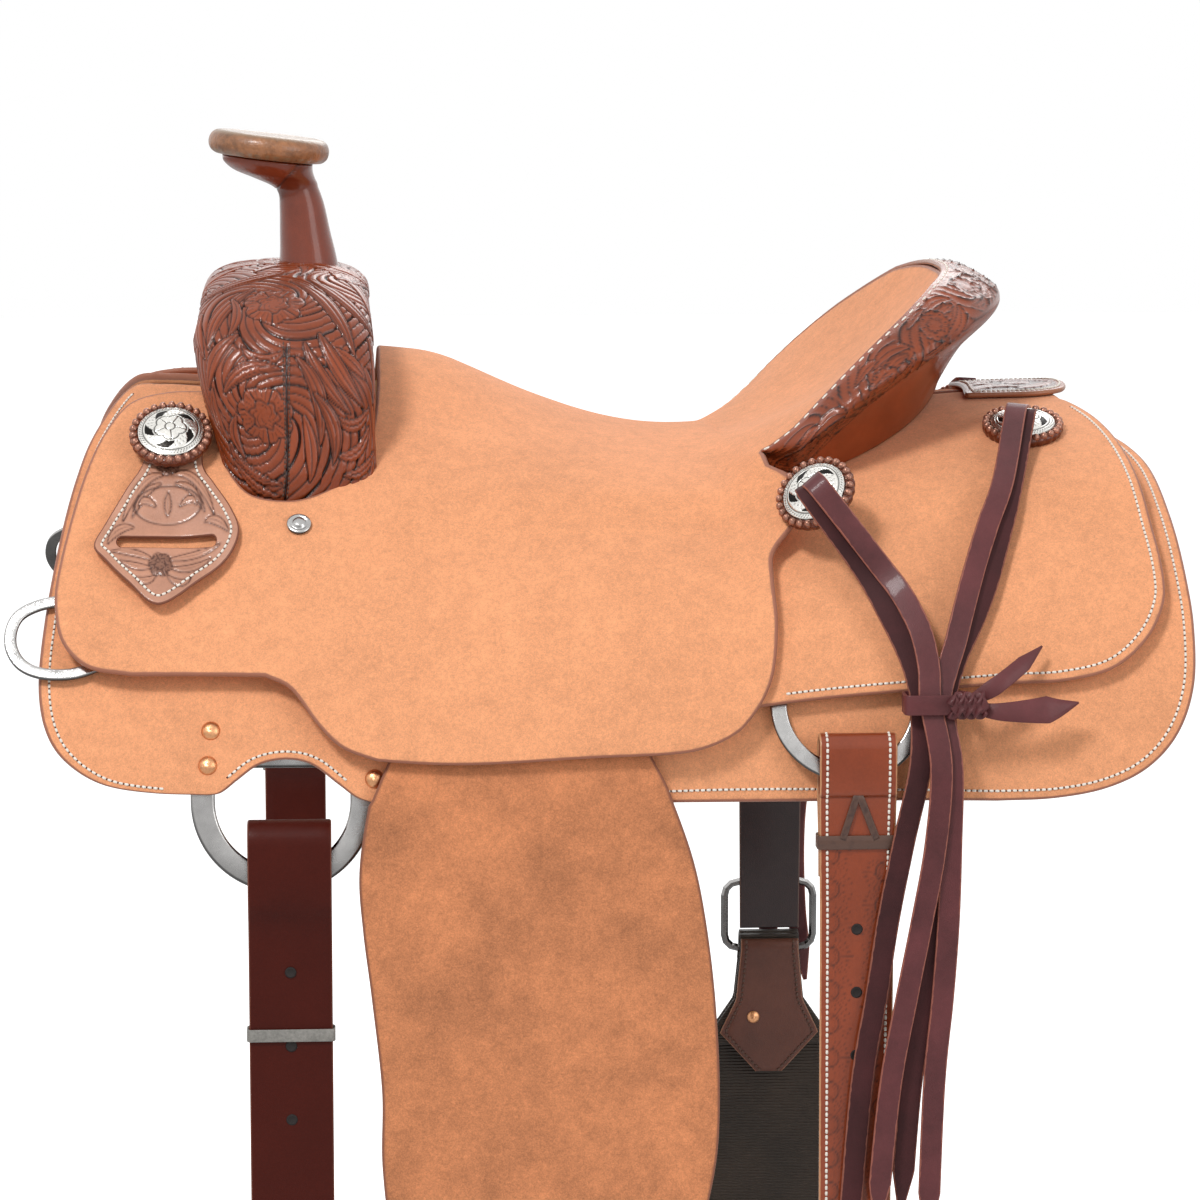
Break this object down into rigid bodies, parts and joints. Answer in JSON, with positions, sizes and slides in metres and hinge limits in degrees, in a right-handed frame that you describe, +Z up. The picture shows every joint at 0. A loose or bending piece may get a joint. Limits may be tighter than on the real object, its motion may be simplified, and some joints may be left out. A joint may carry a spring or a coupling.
{
  "type": "roping saddle",
  "caption": "Western roping saddle on its tree: horn, tooled swells, rough-out seat and jockeys, cantle, skirts, rigging rings, fenders with stirrups, latigo, flank billets and tied strings.",
  "frame": {"origin": "middle of the spine line that the rack or the horse's back carries, midway along the tree", "axes": "+X runs to the tail, +Z is up, and the near (left) side is at -Y"},
  "size_m": [0.7434, 0.5842, 1.0451],
  "materials": {
    "skirting": "roughout, chalky matt",
    "tooled": "tooled, oiled, glossy",
    "latigo": "burgundy latigo, satin",
    "billet": "oiled chestnut, glossy",
    "fleece": "clipped woolskin",
    "rawhide": "hard rawhide, satin",
    "ground": "plain skirting, matt",
    "steel": "polished stainless",
    "concho": "engraved silver",
    "string": "burgundy latigo lace, soft satin",
    "wood": "varnished hardwood",
    "felt": "woven webbing, matt"
  },
  "bodies": {
    "saddle": {"breast_dee_near": "steel", "breast_dee_off": "steel", "cantle_back": "tooled", "fleece_near": "fleece", "fleece_off": "fleece", "front_concho_near": "concho", "front_concho_off": "concho", "front_ring_near": "steel", "front_ring_off": "steel", "ground_seat": "ground", "horn_cap": "rawhide", "horn_neck": "tooled", "jockey_screw_near": "steel", "jockey_screw_off": "steel", "latigo_keeper_near": "skirting", "latigo_keeper_off": "skirting", "mid_concho_near": "concho", "mid_concho_off": "concho", "rear_concho_near": "concho", "rear_concho_off": "concho", "rear_jockey_near": "skirting", "rear_jockey_off": "skirting", "rear_plate": "tooled", "rear_ring_near": "steel", "rear_ring_off": "steel", "rigging_plate_near": "latigo", "rigging_plate_off": "latigo", "seat_leather": "skirting", "skirt_near": "skirting", "skirt_off": "skirting", "string_mid_a_near": "string", "string_mid_a_off": "string", "string_mid_b_near": "string", "string_rear_a_near": "string", "string_rear_a_off": "string", "string_rear_b_near": "string", "string_tie_near": "string", "string_tie_off": "string", "swell_cover": "tooled", "tree_bar_near": "rawhide", "tree_bar_off": "rawhide", "tree_cantle": "rawhide", "tree_fork": "rawhide"},
    "near_fender": {"fender_near": "skirting", "stirrup_leather_near": "latigo", "stirrup_buckle_near": "steel"},
    "off_fender": {"fender_off": "skirting", "stirrup_leather_off": "latigo", "stirrup_buckle_off": "steel"},
    "near_stirrup": {"stirrup_near": "wood", "stirrup_bolt_near": "steel"},
    "off_stirrup": {"stirrup_off": "wood", "stirrup_bolt_off": "steel"},
    "near_latigo": {"latigo": "latigo"},
    "off_girth_billet": {"off_billet": "latigo"},
    "near_flank_billet": {"flank_billet_near": "billet"},
    "off_flank_billet": {"flank_billet_off": "billet", "cinch_buckle": "steel"},
    "flank_cinch": {"back_cinch": "felt"}
  },
  "joints": [
    {"name": "near_fender_swing", "type": "hinge", "parent": "saddle", "child": "near_fender", "pos_m": [-0.052, -0.2, 0], "axis": [0, 1, 0], "range_deg": [-3, 3]},
    {"name": "near_stirrup_turn", "type": "hinge", "parent": "near_fender", "child": "near_stirrup", "pos_m": [-0.052, -0.2459, -0.648], "axis": [1, 0, 0], "range_deg": [-30, 30]},
    {"name": "near_flank_swing", "type": "hinge", "parent": "saddle", "child": "near_flank_billet", "pos_m": [0.1395, -0.26913, -0.14694], "axis": [0, 1, 0], "range_deg": [-4, 4]},
    {"name": "off_fender_swing", "type": "hinge", "parent": "saddle", "child": "off_fender", "pos_m": [-0.052, 0.2, 0], "axis": [0, 1, 0], "range_deg": [-3, 3]},
    {"name": "off_stirrup_turn", "type": "hinge", "parent": "off_fender", "child": "off_stirrup", "pos_m": [-0.052, 0.2459, -0.648], "axis": [1, 0, 0], "range_deg": [-30, 30]},
    {"name": "off_flank_swing", "type": "hinge", "parent": "saddle", "child": "off_flank_billet", "pos_m": [0.1395, 0.26913, -0.14694], "axis": [0, 1, 0], "range_deg": [-4, 4]},
    {"name": "latigo_swing", "type": "hinge", "parent": "saddle", "child": "near_latigo", "pos_m": [-0.212, -0.2451, -0.21475], "axis": [1, 0, 0], "range_deg": [-30, 10]},
    {"name": "off_billet_swing", "type": "hinge", "parent": "saddle", "child": "off_girth_billet", "pos_m": [-0.212, 0.2451, -0.21475], "axis": [1, 0, 0], "range_deg": [-10, 30]},
    {"name": "cinch_swing", "type": "hinge", "parent": "off_flank_billet", "child": "flank_cinch", "pos_m": [0.143, 0.27773, -0.377], "axis": [1, 0, 0], "range_deg": [-4, 2]}
  ]
}
